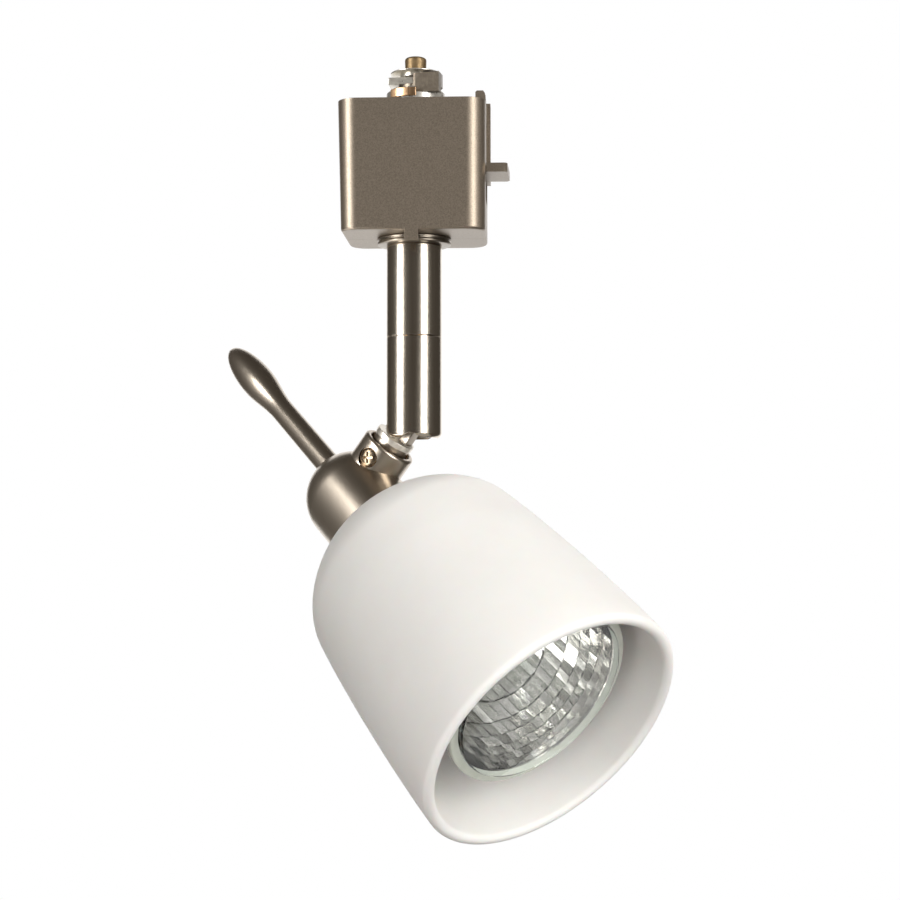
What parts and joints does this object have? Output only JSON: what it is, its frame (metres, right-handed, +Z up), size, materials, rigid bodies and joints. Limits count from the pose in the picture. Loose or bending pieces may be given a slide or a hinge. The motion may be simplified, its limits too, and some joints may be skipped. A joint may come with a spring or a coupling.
{
  "type": "track spotlight",
  "caption": "Plug-in track spotlight: boxy adapter with a spring latch, straight swivel stem, knuckle, dome cup with an aiming handle and a tapered opal glass shade round a reflector lamp.",
  "frame": {"origin": "on the stem's axis, in the plane of the adapter's top face, where the adapter meets the track", "axes": "+Z up into the track, +X towards the adapter's latch side, -Y towards the front cover"},
  "size_m": [0.1215, 0.1261, 0.1992],
  "materials": {
    "housing": "warm satin nickel paint with a fine metallic grain",
    "satin_nickel": "brushed warm nickel plate",
    "dark_nickel": "polished dark nickel plate",
    "turret": "smooth grey moulding",
    "contact": "brushed copper alloy",
    "lock_metal": "rough grey sintered metal",
    "bright_plate": "bright plate",
    "black_plastic": "matt insulating moulding",
    "thread_steel": "threaded zinc-plated steel",
    "spring_steel": "bright steel",
    "zinc_screw": "zinc plate",
    "zinc_block": "die-cast metal, plain",
    "pin_brass": "aged brass",
    "brass": "plain brass",
    "brass_screw": "worn brass plate",
    "gasket": "soft white seal",
    "opal_glass": "matt opal white, fine etched skin",
    "ceramic": "glazed white ceramic",
    "lamp_base": "white ceramic",
    "lamp_mirror": "faceted mirror-coated pressed glass",
    "clear_glass": "clear glass",
    "filament": "tungsten coil"
  },
  "bodies": {
    "adapter": {"front_cover": "housing", "rear_cover": "housing", "cover_screws": "zinc_screw", "contact_turret": "turret", "live_contact": "contact", "neutral_contact": "contact", "lock_head": "lock_metal", "head_plate": "bright_plate", "pin_washer": "bright_plate", "terminal_block": "black_plastic", "terminal_screws": "brass", "stem_nipple": "thread_steel", "stem_locknut": "thread_steel", "stem_collar": "satin_nickel", "upper_stem": "satin_nickel", "swivel_bush": "brass", "swivel_retainer": "spring_steel", "pin_spring": "spring_steel", "latch_spring": "spring_steel"},
    "ground_pin": {"ground_pin": "pin_brass"},
    "latch": {"track_latch": "housing"},
    "lower_stem": {"lower_stem": "satin_nickel", "swivel_washer": "brass", "knuckle_block": "zinc_block", "hinge_pin": "spring_steel"},
    "arm": {"knuckle_arm": "satin_nickel", "hinge_washers": "brass", "arm_retainer": "spring_steel"},
    "head": {"socket_cup": "satin_nickel", "boss_washer": "brass", "boss_screw": "brass_screw", "aiming_handle": "dark_nickel", "handle_nut": "zinc_screw", "shade_gasket": "gasket", "shade_nipple": "thread_steel", "shade_ring": "zinc_block", "glass_shade": "opal_glass", "holder_bracket": "zinc_block", "holder_screws": "zinc_screw", "lampholder": "ceramic", "holder_contacts": "contact", "lamp_base": "lamp_base", "lamp_pins": "zinc_screw", "lamp_reflector": "lamp_mirror", "lamp_cover_glass": "clear_glass", "lamp_capsule": "clear_glass", "lamp_filament": "filament"}
  },
  "joints": [
    {"name": "latch_slide", "type": "slide", "parent": "adapter", "child": "latch", "axis": [0, 0, -1], "range_m": [0, 0.0034], "stiffness_N_per_m": 500, "springref_m": -0.003, "deforming": ["latch_spring"]},
    {"name": "pin_press", "type": "slide", "parent": "adapter", "child": "ground_pin", "axis": [0, 0, -1], "range_m": [0, 0.0015], "stiffness_N_per_m": 700, "springref_m": -0.002, "deforming": ["pin_spring"]},
    {"name": "stem_swivel", "type": "hinge", "parent": "adapter", "child": "lower_stem", "pos_m": [0, 0, -0.06], "axis": [0, 0, 1], "range_deg": [-170, 170]},
    {"name": "knuckle_tilt", "type": "hinge", "parent": "lower_stem", "child": "arm", "pos_m": [0, 0, -0.0791], "axis": [0.4067, 0.9135, 0], "range_deg": [-38, 46.5]},
    {"name": "head_turn", "type": "hinge", "parent": "arm", "child": "head", "pos_m": [0, 0, -0.0791], "axis": [0.5687, -0.2532, 0.7826], "range_deg": [-67, 103]}
  ]
}
